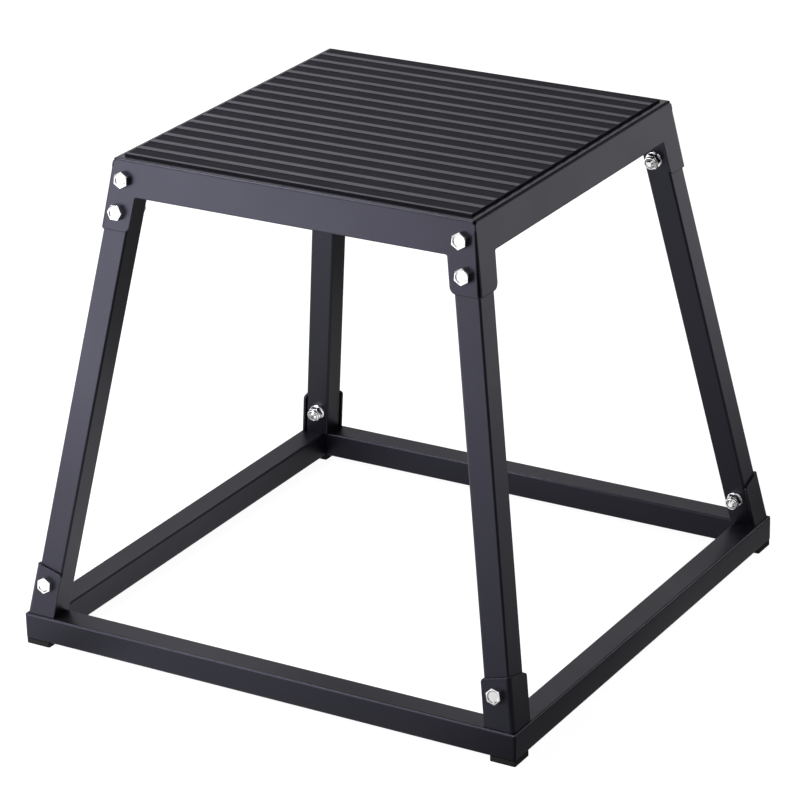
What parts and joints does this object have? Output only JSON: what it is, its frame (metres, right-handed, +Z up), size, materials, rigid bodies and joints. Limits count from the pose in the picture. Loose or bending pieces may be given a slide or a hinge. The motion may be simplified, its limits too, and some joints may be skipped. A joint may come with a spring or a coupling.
{
  "type": "plyo box",
  "caption": "Tapered square-tube jump platform: a folded steel deck with a ribbed rubber mat, bolted on splayed legs to a square base frame.",
  "frame": {"origin": "on the floor, under the middle of the base frame", "axes": "+X to the right along the front, +Y to the back, +Z up; the bolt heads face front and back"},
  "size_m": [0.51, 0.51, 0.4596],
  "materials": {
    "powder_coat": "satin black powder coat",
    "mat_rubber": "matte, with satin bars",
    "foot_rubber": "matte",
    "zinc": "bright zinc plate"
  },
  "bodies": {
    "root": {"top_plate": "powder_coat", "top_mat": "mat_rubber", "stiffener_front": "powder_coat", "stiffener_back": "powder_coat", "leg_front_left": "powder_coat", "leg_front_right": "powder_coat", "leg_back_left": "powder_coat", "leg_back_right": "powder_coat", "front_rail": "powder_coat", "back_rail": "powder_coat", "left_rail": "powder_coat", "right_rail": "powder_coat", "corner_bracket_front_left": "powder_coat", "corner_bracket_front_right": "powder_coat", "corner_bracket_back_left": "powder_coat", "corner_bracket_back_right": "powder_coat", "foot_front_left": "foot_rubber", "foot_front_right": "foot_rubber", "foot_back_left": "foot_rubber", "foot_back_right": "foot_rubber", "platform_bolts_upper": "zinc", "platform_bolts_lower": "zinc", "base_bolts": "zinc", "platform_washers_upper": "zinc", "platform_washers_lower": "zinc", "base_washers": "zinc", "platform_nuts_upper": "zinc", "platform_nuts_lower": "zinc", "base_nuts": "zinc"}
  },
  "joints": []
}
